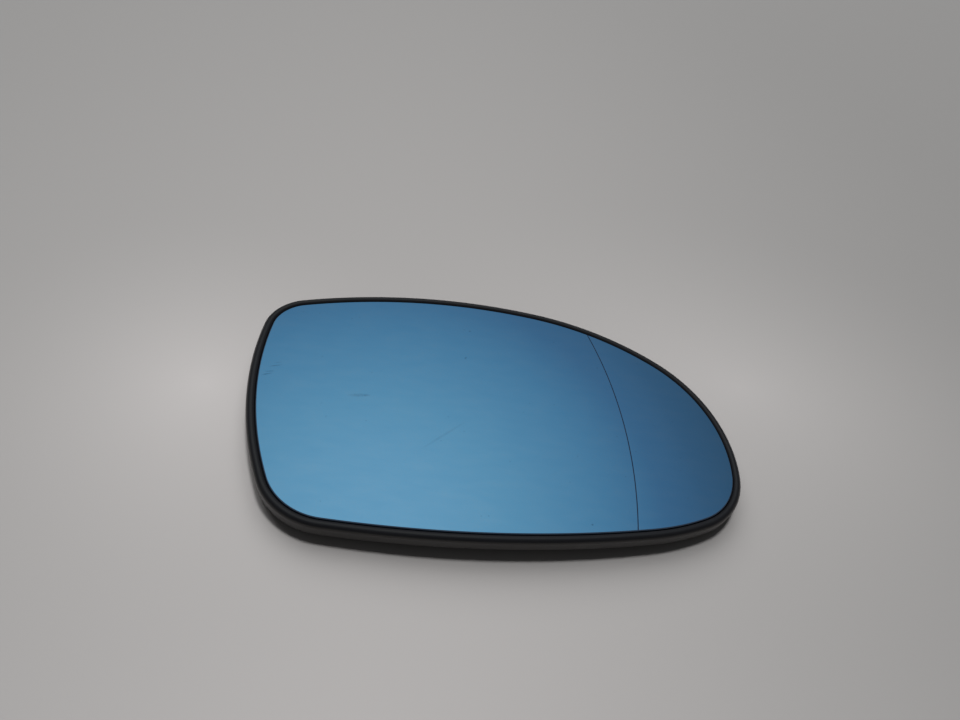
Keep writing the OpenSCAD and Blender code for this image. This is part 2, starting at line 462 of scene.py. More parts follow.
class Nodes:
    """Node tree of a new material or world, which is filled node by node."""

    def __init__(self, owner: bpy.types.Material | bpy.types.World, space: str = "Object") -> None:
        """Empties the owner's tree and adds the coordinates that its patterns follow.

        Args:
            owner: Material or world.
            space: Name of the coordinates.
        """
        self.owner = owner
        owner.use_nodes = True
        owner.node_tree.nodes.clear()
        self.place = self.add("ShaderNodeTexCoord").outputs[space]

    def add(self, kind: str, inputs: Inputs | None = None, **settings: object) -> bpy.types.Node:
        """Adds a node with its settings, its values and its links.

        Args:
            kind: Blender's name for the node.
            inputs: What each input takes, by name or number: a value, the socket that feeds it,
                or a node, of which the first output in use feeds it.
            settings: Attributes of the node.

        Returns:
            The new node.
        """
        tree = self.owner.node_tree
        node = tree.nodes.new(kind)
        for name, value in settings.items():
            setattr(node, name, value)
        for name, value in (inputs or {}).items():
            if isinstance(value, bpy.types.Node):
                value = next(socket for socket in value.outputs if socket.enabled)
            if isinstance(value, bpy.types.NodeSocket):
                tree.links.new(value, node.inputs[name])
            else:
                node.inputs[name].default_value = value
        return node

    def surface(self, inputs: Inputs) -> bpy.types.Material:
        """Ends the material in one shader.

        Args:
            inputs: What the shader's inputs take.

        Returns:
            The material.
        """
        shader = self.add("ShaderNodeBsdfPrincipled", inputs)
        self.add("ShaderNodeOutputMaterial", {"Surface": shader})
        return self.owner


@dataclass(frozen=True)
class Mark:
    """Mark that wiping left on the front: a spot or a streak with soft ends.

    Lengths are in millimetres, from the collar's axis, and the angle is in degrees.
    """

    x: float
    y: float
    length: float
    width: float
    angle: float = 0.0
    strength: float = 1.0


@dataclass(frozen=True)
class CoatedFloatGlass:
    """Bent float glass with a blue metal coating sputtered on it, and a polished clear face.

    The coating gives a deep blue mirror. The face over it adds a faint neutral gloss, and
    wiping leaves a haze and a few marks that dull the mirror a little.
    """

    tint: str = "#70b1d9"
    haze_tint: str = "#6baad2"
    mark_tint: str = "#26577c"
    roughness: float = 0.02
    haze_roughness: float = 0.06
    face_ior: float = 1.52
    face_roughness: float = 0.01
    # How much gloss the clear face adds
    face_gloss: float = 0.25
    # Width of a wiped streak in the haze, in millimetres, and how much longer than wide it is
    streak: float = 12.0
    streak_stretch: float = 3.0
    marks: tuple[Mark, ...] = (
        Mark(-53.4, -0.6, length=10.0, width=2.4, angle=7.0, strength=0.4),
        Mark(-50.6, -0.3, length=4.0, width=1.5, angle=7.0, strength=0.7),
        Mark(-88.4, 6.0, length=5.6, width=0.7, angle=20.0),
        Mark(-87.6, 7.5, length=4.4, width=0.6, angle=10.0),
        Mark(-86.0, 10.6, length=6.4, width=0.8, angle=16.0, strength=0.7),
        Mark(-85.2, 12.4, length=4.0, width=0.7, angle=16.0, strength=0.4),
        Mark(-13.4, 24.9, length=1.8, width=1.0, angle=60.0),
        Mark(-11.9, 40.9, length=1.4, width=1.1, strength=0.8),
        Mark(-20.7, -15.6, length=28.0, width=1.4, angle=43.0, strength=0.22),
        Mark(33.1, -46.9, length=1.1, width=1.1),
    )
    # Share of a mark over which it keeps its strength, and its grain in millimetres
    mark_core: float = 0.2
    mark_grain: float = 0.9
    # Specks of dried water: their spacing and their radius in millimetres, how dull they are,
    # and the share of their places that stays clean
    speck_gap: float = 6.0
    speck_r: float = 0.45
    speck_strength: float = 0.5
    clean_share: float = 0.8

    def build(self) -> bpy.types.Material:
        """Makes the material.

        Returns:
            The material of the front.
        """
        glass = Nodes(bpy.data.materials.new("blue_coated_float_glass"))
        drawn = (1.0, self.streak_stretch, 1.0)
        wiped = glass.add("ShaderNodeMapping", {"Vector": glass.place, "Scale": drawn})
        haze = glass.add(
            "ShaderNodeTexNoise", {"Vector": wiped, "Scale": 1 / (self.streak * MM), "Detail": 3.0}
        )
        colour = glass.add(
            "ShaderNodeMix", {0: haze, 6: linear(self.tint), 7: linear(self.haze_tint)}, data_type="RGBA"
        )
        rough = glass.add(
            "ShaderNodeMapRange", {"Value": haze, "To Min": self.roughness, "To Max": self.haze_roughness}
        )
        dull = self.specks(glass)
        for mark in self.marks:
            wiped = self.wiped_on(glass, mark)
            dull = glass.add("ShaderNodeMath", {0: dull, 1: wiped}, operation="MAXIMUM")
        grain = glass.add(
            "ShaderNodeTexNoise",
            {"Vector": glass.place, "Scale": 1 / (self.mark_grain * MM), "Detail": 2.0},
        )
        dull = glass.add("ShaderNodeMath", {0: dull, 1: grain}, operation="MULTIPLY")
        colour = glass.add(
            "ShaderNodeMix", {0: dull, 6: colour, 7: linear(self.mark_tint)}, data_type="RGBA"
        )
        return glass.surface({
            "Base Color": colour, "Metallic": 1.0, "Roughness": rough, "Coat Weight": self.face_gloss,
            "Coat Roughness": self.face_roughness, "Coat IOR": self.face_ior,
        })

    def specks(self, glass: Nodes) -> bpy.types.Node:
        """Adds the specks.

        Args:
            glass: Tree of the material.

        Returns:
            How dull the front is there.
        """
        cells = glass.add(
            "ShaderNodeTexVoronoi", {"Vector": glass.place, "Scale": 1 / (self.speck_gap * MM)},
            voronoi_dimensions="2D",
        )
        chosen = glass.add(
            "ShaderNodeMath", {0: cells.outputs["Color"], 1: self.clean_share}, operation="GREATER_THAN"
        )
        reach = self.speck_r / self.speck_gap
        spot = glass.add(
            "ShaderNodeMapRange",
            {"Value": cells, "From Max": reach, "To Min": self.speck_strength, "To Max": 0.0},
            interpolation_type="SMOOTHSTEP",
        )
        return glass.add("ShaderNodeMath", {0: chosen, 1: spot}, operation="MULTIPLY")

    def wiped_on(self, glass: Nodes, mark: Mark) -> bpy.types.Node:
        """Adds a mark.

        Args:
            glass: Tree of the material.
            mark: Place, size and strength of the mark.

        Returns:
            How dull the front is there.
        """
        turned = glass.add(
            "ShaderNodeMapping",
            {
                "Vector": glass.place,
                "Location": (mark.x * MM, mark.y * MM, 0.0),
                "Rotation": (0.0, 0.0, math.radians(mark.angle)),
                "Scale": (mark.length / 2 * MM, mark.width / 2 * MM, 1.0),
            },
            vector_type="TEXTURE",
        )
        flat = glass.add("ShaderNodeVectorMath", {0: turned, 1: (1.0, 1.0, 0.0)}, operation="MULTIPLY")
        away = glass.add("ShaderNodeVectorMath", {0: flat}, operation="LENGTH")
        return glass.add(
            "ShaderNodeMapRange",
            {"Value": away, "From Min": self.mark_core, "To Min": mark.strength, "To Max": 0.0},
            interpolation_type="SMOOTHSTEP",
        )


@dataclass(frozen=True)
class Finish:
    """Finish that is one material all over, with the marks of its making and its use.

    Wear changes the colour and the roughness from place to place, and grain stands out in
    relief. Spacings and heights are in millimetres, and a spacing of 0 stands for none.
    """

    name: str
    tint: str
    # Roughness where the wear is least and where it is most
    roughness: tuple[float, float]
    worn_tint: str = ""
    gloss_tint: str = "#ffffff"
    metallic: float = 0.0
    ior: float = 1.5
    wear: float = 0.0
    wear_detail: float = 2.0
    wear_drawn: tuple[float, float, float] = (1.0, 1.0, 1.0)
    grain: float = 0.0
    grain_detail: float = 2.0
    grain_broken: float = 0.5
    grain_height: float = 0.0
    grain_strength: float = 0.0

    def build(self) -> bpy.types.Material:
        """Makes the material.

        Returns:
            The material, with its patterns in the part's own space.
        """
        nodes = Nodes(bpy.data.materials.new(self.name))
        colour, (rough, worn_rough) = linear(self.tint), self.roughness
        if self.wear:
            drawn = nodes.add("ShaderNodeMapping", {"Vector": nodes.place, "Scale": self.wear_drawn})
            wear = nodes.add(
                "ShaderNodeTexNoise",
                {"Vector": drawn, "Scale": 1 / (self.wear * MM), "Detail": self.wear_detail},
            )
            rough = nodes.add("ShaderNodeMapRange", {"Value": wear, "To Min": rough, "To Max": worn_rough})
            if self.worn_tint:
                tints = {0: wear, 6: colour, 7: linear(self.worn_tint)}
                colour = nodes.add("ShaderNodeMix", tints, data_type="RGBA")
        inputs = {
            "Base Color": colour, "Roughness": rough, "Metallic": self.metallic, "IOR": self.ior,
            "Specular Tint": linear(self.gloss_tint),
        }
        if self.grain:
            grain = nodes.add("ShaderNodeTexNoise", {
                "Vector": nodes.place, "Scale": 1 / (self.grain * MM),
                "Detail": self.grain_detail, "Roughness": self.grain_broken,
            })
            relief = {"Strength": self.grain_strength, "Distance": self.grain_height * MM, "Height": grain}
            inputs["Normal"] = nodes.add("ShaderNodeBump", relief)
        return nodes.surface(inputs)


@dataclass(frozen=True)
class GroundGlass(Finish):
    """Edge of float glass, ground on a belt: a dull grey blue that looks nearly black in the gap."""

    name: str = "ground_glass_edge"
    tint: str = "#3e4a5c"
    roughness: tuple[float, float] = (0.4, 0.65)
    ior: float = 1.52
    # Scratches that the grinding belt leaves, duller where they stand out
    wear: float = 0.25
    grain: float = 0.25
    grain_height: float = 0.02
    grain_strength: float = 0.2


@dataclass(frozen=True)
class EtchedLine(Finish):
    """Fine line etched through the coating: a dull dark blue, where the paint behind shows."""

    name: str = "etched_line"
    tint: str = "#1b2438"
    roughness: tuple[float, float] = (0.5, 0.8)
    # Specks that etching leaves
    wear: float = 0.3


@dataclass(frozen=True)
class BackingPaint(Finish):
    """Grey paint rolled over the coating's back: flat, with a faint orange peel."""

    name: str = "backing_paint"
    tint: str = "#5d6163"
    roughness: tuple[float, float] = (0.6, 0.6)
    # Orange peel of the roller
    grain: float = 2.0
    grain_height: float = 0.05
    grain_strength: float = 0.3


@dataclass(frozen=True)
class MouldedPlastic(Finish):
    """Black ABS, injection moulded in a lightly spark-eroded mould.

    It gives the eye a satin black, with a fine grain that breaks its highlights up and a
    slightly duller patch here and there from handling.
    """

    name: str = "black_moulded_abs"
    tint: str = "#121214"
    worn_tint: str = "#161618"
    # Gloss of the black, a little warm
    gloss_tint: str = "#f9f4ee"
    roughness: tuple[float, float] = (0.32, 0.42)
    # Patches that handling leaves
    wear: float = 18.0
    wear_detail: float = 4.0
    # Grain of the mould. The real one's spacing is near 0.15, too fine to show
    grain: float = 0.4
    grain_detail: float = 3.0
    grain_broken: float = 0.6
    grain_height: float = 0.012
    grain_strength: float = 0.5


@dataclass(frozen=True)
class TinnedBrass(Finish):
    """Brass strip, stamped and dipped in tin: a bright warm grey with drawn lines along it."""

    name: str = "tinned_brass_strip"
    tint: str = "#c9c6bd"
    worn_tint: str = "#b8ad8e"
    roughness: tuple[float, float] = (0.22, 0.42)
    metallic: float = 1.0
    # Rolling lines, drawn out along the blade
    wear: float = 0.3
    wear_drawn: tuple[float, float, float] = (1.0, 1.0, 0.08)


@dataclass(frozen=True)
class HeaterFilm:
    """Polyester film with aluminium tracks printed on it: silvery lines on a milky sheet."""

    film_tint: str = "#b9b4a6"
    track_tint: str = "#c9cbcc"
    roughness: float = 0.35
    # Spacing of the heating tracks, in millimetres
    track: float = 3.0
    # Heights of the wave that a track's edge fades between
    track_edge: tuple[float, float] = (0.45, 0.55)

    def build(self) -> bpy.types.Material:
        """Makes the material.

        Returns:
            The material of the heating foil.
        """
        film = Nodes(bpy.data.materials.new("printed_heater_film"))
        # A wave repeats every pi / 10 of its coordinate at a scale of 1
        lines = film.add(
            "ShaderNodeTexWave",
            {"Vector": film.place, "Scale": math.pi / 10 / (self.track * MM), "Distortion": 0.0},
            wave_profile="SIN", bands_direction="Y",
        ).outputs["Fac"]
        low, high = self.track_edge
        track = film.add("ShaderNodeMapRange", {"Value": lines, "From Min": low, "From Max": high})
        colour = film.add(
            "ShaderNodeMix", {0: track, 6: linear(self.film_tint), 7: linear(self.track_tint)},
            data_type="RGBA",
        )
        return film.surface({"Base Color": colour, "Metallic": track, "Roughness": self.roughness})


class Zone(IntEnum):
    """Zones of the glass's skin, in the order of its materials."""

    FRONT = 0
    EDGE = 1
    LINE = 2
    BACK = 3


@dataclass(frozen=True)
class MirrorGlass:
    """The glass: its two zones, the etched line between them, its ground edge and its back.

    Lengths are in millimetres, and directions are in degrees.
    """

    outline: Outline
    front: ConvexFront
    thickness: float = 2.0
    chamfer: float = 0.3
    line_w: float = 0.4
    line_depth: float = 0.15
    line_step: float = 2.5
    # Directions of the outline that the line's upper and lower end are found between
    top_between: tuple[float, float] = (30.0, 100.0)
    bottom_between: tuple[float, float] = (270.0, 330.0)
    halvings: int = 50
    # Sizes of the rings that fill the front, as shares of its edge. The back takes every third
    shares: tuple[float, ...] = (0.995, 0.97, 0.93, 0.87, 0.8, 0.7, 0.6, 0.5, 0.4, 0.3, 0.2, 0.1)

    def crossing(self, bow_r: float, first: float, last: float) -> float:
        """Finds where a bow meets the front's edge.

        Args:
            bow_r: Radius of the bow about the line's centre.
            first: Direction of the outline before the crossing.
            last: Direction of the outline past it.

        Returns:
            Direction of the outline at the crossing.
        """
        centre = self.front.line_centre()

        def inside(direction: float) -> bool:
            """Tells whether the outline lies within the bow there."""
            return bool(np.linalg.norm(self.outline.at([direction], -self.chamfer)[0] - centre) < bow_r)

        at_first = inside(first)
        for _ in range(self.halvings):
            middle = (first + last) / 2
            if inside(middle) == at_first:
                first = middle
            else:
                last = middle
        return (first + last) / 2

    def bow(self, bow_r: float, bottom: float, top: float) -> np.ndarray:
        """Lists the points of a bow between its two crossings, without them.

        Args:
            bow_r: Radius of the bow about the line's centre.
            bottom: Direction of the outline at the lower crossing.
            top: Direction of the outline at the upper crossing.

        Returns:
            Their places in plan, from the bottom up.
        """
        centre = self.front.line_centre()
        ends = self.outline.at([bottom, top], -self.chamfer) - centre
        first, last = np.arctan2(ends[:, 1], ends[:, 0])
        steps = math.ceil((last - first) * self.front.line_bow_r / self.line_step)
        angles = np.linspace(first, last, steps + 1)[1:-1]
        return centre + bow_r * np.c_[np.cos(angles), np.sin(angles)]

    def build(self) -> bpy.types.Object:
        """Builds the glass as one closed mesh.

        Returns:
            The glass, with the zone of each face set.
        """
        place, at = self.front.place, self.outline.at
        bow_radii = [self.front.line_bow_r + half for half in (-self.line_w / 2, self.line_w / 2)]
        tops = [self.crossing(r, *self.top_between) for r in bow_radii]
        bottoms = [self.crossing(r, *self.bottom_between) for r in bow_radii]
        bows = [self.bow(r, b, t) for r, b, t in zip(bow_radii, bottoms, tops)]
        arcs = [
            self.outline.directions(tops[0], bottoms[0]),
            self.outline.directions(bottoms[1], tops[1] + 360),
        ]

        points: list[np.ndarray] = []
        faces: Faces = []
        zones: list[Zone] = []

        def put(added: np.ndarray) -> list[int]:
            """Adds points and returns their numbers."""
            points.extend(added)
            return list(range(len(points) - len(added), len(points)))

        def around(ring: list[int]) -> list[int]:
            """Repeats a ring's first point at its end."""
            return [*ring, ring[0]]

        def face(zone: Zone, *corners: int) -> None:
            """Adds a face to a zone."""
            faces.append(corners)
            zones.append(zone)

        def strip(zone: Zone, one: list[int], other: list[int]) -> None:
            """Adds a row of four-sided faces between two rows of points."""
            for corners in zip(one, one[1:], other[1:], other):
                face(zone, *corners)

        def fill(
            zone: Zone, ring: list[int], spread: Callable[[float], np.ndarray], *shares: float
        ) -> None:
            """Fills a ring with smaller ones and closes the smallest on its middle.

            Args:
                zone: Zone of the faces.
                ring: Points of the ring.
                spread: Places of the ring's points once it is shrunk to a share.
                shares: Shares that it is shrunk to.
            """
            for share in shares:
                inner = put(spread(share))
                strip(zone, around(ring), around(inner))
                ring = inner
            centre = put(spread(0.0)[:1])[0]
            for corners in zip(ring, around(ring)[1:]):
                face(zone, *corners, centre)

        edges, floors, sides = [], [], []
        # Each half's edge runs along its arc of the outline and back along its bow
        for directions, bow in zip(arcs, (bows[0], bows[1][::-1])):
            plan = at(directions, -self.chamfer)
            edge = put(place(plan, 0))
            line = put(place(bow, 0))
            loop = np.vstack([plan, bow])
            middle = loop.mean(axis=0)
            fill(Zone.FRONT, edge + line, lambda s: place(middle + s * (loop - middle), 0), *self.shares)
            # Ends of the groove's floor lie on the chamfer, halfway down it
            ends = put(place(at(directions[[-1, 0]], self.line_depth - self.chamfer), self.line_depth))
            floor = [ends[0], *put(place(bow, self.line_depth)), ends[1]]
            strip(Zone.LINE, [edge[-1], *line, edge[0]], floor)
            side = put(place(at(directions, 0), self.chamfer))
            face(Zone.EDGE, edge[0], edge[1], side[1], side[0], floor[-1])
            face(Zone.EDGE, edge[-2], edge[-1], floor[0], side[-1], side[-2])
            strip(Zone.EDGE, edge[1:-1], side[1:-1])
            edges.append(edge)
            floors.append(floor)
            sides.append(side)
        strip(Zone.LINE, floors[0], floors[1][::-1])
        face(Zone.EDGE, floors[0][0], floors[1][-1], sides[1][0], sides[0][-1])
        face(Zone.EDGE, floors[0][-1], floors[1][0], sides[1][-1], sides[0][0])

        directions = np.concatenate(arcs)
        lower = put(place(at(directions, 0), self.thickness - self.chamfer))
        strip(Zone.EDGE, around(sides[0] + sides[1]), around(lower))
        plan = at(directions, -self.chamfer)
        back = put(place(plan, self.thickness))
        strip(Zone.EDGE, around(lower), around(back))
        fill(Zone.BACK, back, lambda s: place(plan * s, self.thickness), *self.shares[::3])
        return make_object("mirror_glass_pane", np.array(points), faces, zones)

    def dress(self, piece: bpy.types.Object) -> None:
        """Gives the glass its materials and its place in the part."""
        finishes = (CoatedFloatGlass(), GroundGlass(), EtchedLine(), BackingPaint())
        dress(piece, [finish.build() for finish in finishes], "mirror_coating", "mirror_glass")


@dataclass(frozen=True)
class Carrier:
    """The moulded carrier: plate, rim with its bead, ribs, and the collar with its hooks.

    Lengths are in millimetres.
    """

    outline: Outline
    front: ConvexFront
    plate_below: float = 2.4
    plate_t: float = 2.0
    foil_inset: float = 2.5
    rim_w: float = 3.5
    rim_depth: float = 5.6
    bead_rise: float = 0.4
    glass_gap: float = 0.2
    rim_draft: float = 0.5
    skirt_t: float = 1.8
    foot_round: float = 0.4
    bead_steps: int = 16
    foot_steps: int = 4
    # Sizes of the rings that fill the plate, as shares of the glass
    fields: tuple[float, ...] = (0.2, 0.4, 0.6, 0.8)
    rib_count: int = 12
    rib_t: float = 1.4
    rib_high: float = 2.5
    rib_low: float = 1.0
    rib_fall_r: float = 52.0
    ring_rib_r: float = 46.0
    rib_root: float = 0.4
    rib_edge: float = 0.25
    # How far a rib's root is sunk into the plate, so that its rounding leaves no step
    rib_sunk: float = 0.05
    root_steps: int = 4
    rib_step: float = 4.0
    window_gap: float = 1.2
    window_corner: float = 0.8
    corner_steps: int = 4
    collar_r: float = 26.0
    collar_t: float = 2.0
    finger_count: int = 8
    slot_w: float = 1.6
    slot_land: float = 0.5
    slot_steps: int = 8
    hook_reach: float = 0.9
    hook_from: float = 0.3
    hook_h: float = 2.1
    hook_flat: float = 0.5
    hook_w: float = 9.0
    hook_steps: int = 8
    relief: float = 0.5
    relief_h: float = 3.0
    collar_edge: float = 0.2
    # How far a solid reaches into, or past, what it is joined to or cut from
    joined: float = 1.0
    turn_steps: int = 120

    @property
    def back_below(self) -> float:
        """Depth of the plate's back below the front of the glass."""
        return self.plate_below + self.plate_t

    @property
    def stand_h(self) -> float:
        """Height of the collar, from its end face to the plate's back."""
        return self.front.crown_z - self.back_below

    def shell(self) -> bpy.types.Object:
        """Builds the plate and the rim in one skin.

        Returns:
            The closed solid.
        """
        bead_r = (self.rim_w - self.glass_gap) / 2
        bead_middle = (self.rim_w + self.glass_gap) / 2
        bead_below = bead_r - self.bead_rise
        foot_out = self.rim_w - self.rim_draft
        foot_in = foot_out - self.skirt_t
        # Offset from the edge of the glass, and depth below its front
        profile = [(-self.foil_inset, self.plate_below), (self.glass_gap, self.plate_below)]
        for a in np.linspace(math.pi, 0, self.bead_steps + 1):
            profile.append((bead_middle + bead_r * math.cos(a), bead_below - bead_r * math.sin(a)))
        for a in np.linspace(0, math.pi / 2, self.foot_steps + 1):
            profile.append((
                foot_out - self.foot_round * (1 - math.cos(a)),
                self.rim_depth - self.foot_round * (1 - math.sin(a)),
            ))
        profile += [(foot_in, self.rim_depth), (foot_in, self.back_below)]
        directions, place = self.outline.directions()[:-1], self.front.place
        plan = self.outline.at(directions, 0)
        rings = [place(plan * share, self.plate_below) for share in self.fields]
        rings += [place(self.outline.at(directions, offset), below) for offset, below in profile]
        rings += [place(plan * share, self.back_below) for share in reversed(self.fields)]
        middles = [place(np.zeros(2), below) for below in (self.plate_below, self.back_below)]
        return make_object("moulded_carrier", *skin(rings, *middles))

    def rib_section(self, middle: np.ndarray, side: np.ndarray, far: float) -> np.ndarray:
        """Section of a rib where it crosses the plate's back, with rounded roots and edges.

        Args:
            middle: Place of the section's middle in plan.
            side: Unit vector across the rib.
            far: Distance from the collar's axis, which sets how low the rib reaches.

        Returns:
            Points of the section.
        """
        height = float(self.front.place(middle, self.back_below)[0, 2])
        low = self.rib_bottom(far)
        scale = min(1.0, (height - low) / (self.rib_root + 2 * self.rib_edge))
        root, edge = self.rib_root * scale, self.rib_edge * scale
        half, sunk = self.rib_t / 2, self.rib_sunk
        quarter = np.linspace(0, math.pi / 2, self.root_steps + 1)
        corners = [(-half - root, height + self.joined / 2)]
        for a in quarter:
            corners.append((-half - root + root * math.sin(a), height + sunk - root + root * math.cos(a)))
        for a in quarter:
            corners.append((-half + edge - edge * math.cos(a), low + edge - edge * math.sin(a)))
        corners += [(-v, z) for v, z in reversed(corners)]
        return np.array([(*(middle + v * side), z) for v, z in corners])

    def rib_bottom(self, far: float) -> float:
        """Finds the height of the ribs' lower edge.

        Args:
            far: Distance from the collar's axis.

        Returns:
            The height there.
        """

        def back(r: float) -> float:
            """Height of the sphere that the plate's back follows."""
            return self.stand_h - self.front.main_r + math.sqrt(self.front.main_r**2 - r**2)

        end = self.outline.width / 2 + self.rim_w
        stations = (self.collar_r + self.collar_t / 2, self.rib_fall_r, end)
        lows = [back(r) - self.rib_low for r in (self.rib_fall_r, end)]
        return float(np.interp(far, stations, (self.stand_h - self.rib_high, *lows)))

    def spokes(self) -> bpy.types.Object:
        """Builds the ribs that run from the collar to the rim.

        Returns:
            The ribs, as solids that stay clear of each other.
        """
        solids = []
        start = self.collar_r + self.collar_t / 2
        inside_skirt = self.rim_w - self.rim_draft - self.skirt_t / 2
        for i in range(self.rib_count):
            heading, side = heading_and_side((i + 0.5) * 360 / self.rib_count)
            flanks = (-self.rib_t / 2, self.rib_t / 2)
            end = min(self.outline.distance(v * side, heading, inside_skirt) for v in flanks)
            stations = np.linspace(start, end, math.ceil((end - start) / self.rib_step) + 1)
            solids.append(tube([self.rib_section(r * heading, side, r) for r in stations]))
        return make_object("ribs", *several(solids))

    def ring_rib(self) -> bpy.types.Object:
        """Builds the round rib that ties the others.

        Returns:
            The closed solid.
        """
        heading, _ = heading_and_side(0)
        section = self.rib_section(self.ring_rib_r * heading, heading, self.ring_rib_r)
        return make_object("ring_rib", *revolve(section[:, [0, 2]], 0, 360, self.turn_steps))

    def collar(self) -> bpy.types.Object:
        """Builds the collar, cut into fingers, with a hook on each.

        Returns:
            The closed solid.
        """
        inner, outer = self.collar_r, self.collar_r + self.collar_t
        mouth, top = inner + self.relief, self.stand_h + self.joined
        profile = np.array([
            (mouth, 0), (outer, 0), (outer, top), (inner, top),
            (inner, self.relief_h), (mouth, self.relief_h),
        ])
        wall = make_object("collar", *revolve(profile, 0, 360, self.turn_steps))
        half, slot_top = self.slot_w / 2, self.stand_h - self.rib_high - self.slot_land
        shape = [(-half, -self.joined), (half, -self.joined)]
        for a in np.linspace(0, math.pi, self.slot_steps + 1):
            shape.append((half * math.cos(a), slot_top - half + half * math.sin(a)))
        slots = []
        for i in range(self.finger_count):
            heading, side = heading_and_side(i * 360 / self.finger_count)
            slots.append(tube([
                np.array([(*(r * heading + v * side), z) for v, z in shape])
                for r in (inner - self.collar_t, outer + self.collar_t)
            ]))
        combine(wall, make_object("slots", *several(slots)), Join.CUT)
        combine(wall, self.hooks(), Join.ADD)
        round_edges(wall, self.collar_edge)
        return wall

    def hooks(self) -> bpy.types.Object:
        """Builds the hooks, one in the middle of each finger.

        Returns:
            The hooks, as solids that stay clear of each other.
        """
        half_turn = math.degrees(self.hook_w / self.collar_r) / 2
        wall = self.collar_r + self.relief
        root = (wall + self.collar_r + self.collar_t) / 2
        crest = self.collar_r - self.hook_reach
        top = self.hook_from + self.hook_h
        crest_top = top - self.hook_reach / 2
        profile = np.array([
            (root, self.hook_from), (wall, self.hook_from), (crest, crest_top - self.hook_flat),
            (crest, crest_top), (wall, top), (root, top),
        ])
        middles = [(i + 0.5) * 360 / self.finger_count for i in range(self.finger_count)]
        return make_object("hooks", *several([
            revolve(profile, middle - half_turn, middle + half_turn, self.hook_steps) for middle in middles
        ]))

    def windows(self, terminals: Sequence["Terminal"]) -> bpy.types.Object:
        """Builds the solids that are cut out of the plate around the terminals.

        Args:
            terminals: Terminals that stand in the windows.

        Returns:
            The solids, clear of each other.
        """
        solids = []
        for terminal in terminals:
            half_w = terminal.width / 2 + self.window_gap - self.window_corner
            half_l = terminal.foot / 2 + self.window_gap - self.window_corner
            corners = ((half_w, half_l), (-half_w, half_l), (-half_w, -half_l), (half_w, -half_l))
            shape, r = [], self.window_corner
            for turn, (x, y) in zip((0, 90, 180, 270), corners):
                for a in np.radians(np.linspace(turn, turn + 90, self.corner_steps + 1)):
                    shape.append((x + r * math.cos(a), y + r * math.sin(a)))
            placed = terminal.placement(0)
            solids.append(tube([
                np.array([placed @ Vector((x, y, z)) for x, y in shape])
                for z in (-self.back_below - self.joined, self.joined)
            ]))
        return make_object("windows", *several(solids))

    def build(self, terminals: Sequence["Terminal"]) -> bpy.types.Object:
        """Builds the carrier as one solid.

        Args:
            terminals: Terminals that its windows leave room for.

        Returns:
            The carrier.
        """
        piece = self.shell()
        for part in (self.spokes(), self.ring_rib(), self.collar()):
            combine(piece, part, Join.ADD)
        combine(piece, self.windows(terminals), Join.CUT)
        return piece

    def dress(self, piece: bpy.types.Object) -> None:
        """Gives the carrier its material and its place in the part."""
        dress(piece, [MouldedPlastic().build()], "black_moulding", "carrier")


class Side(Enum):
    """Side of the lowest rib that a terminal stands on."""

    LEFT = -1
    RIGHT = 1


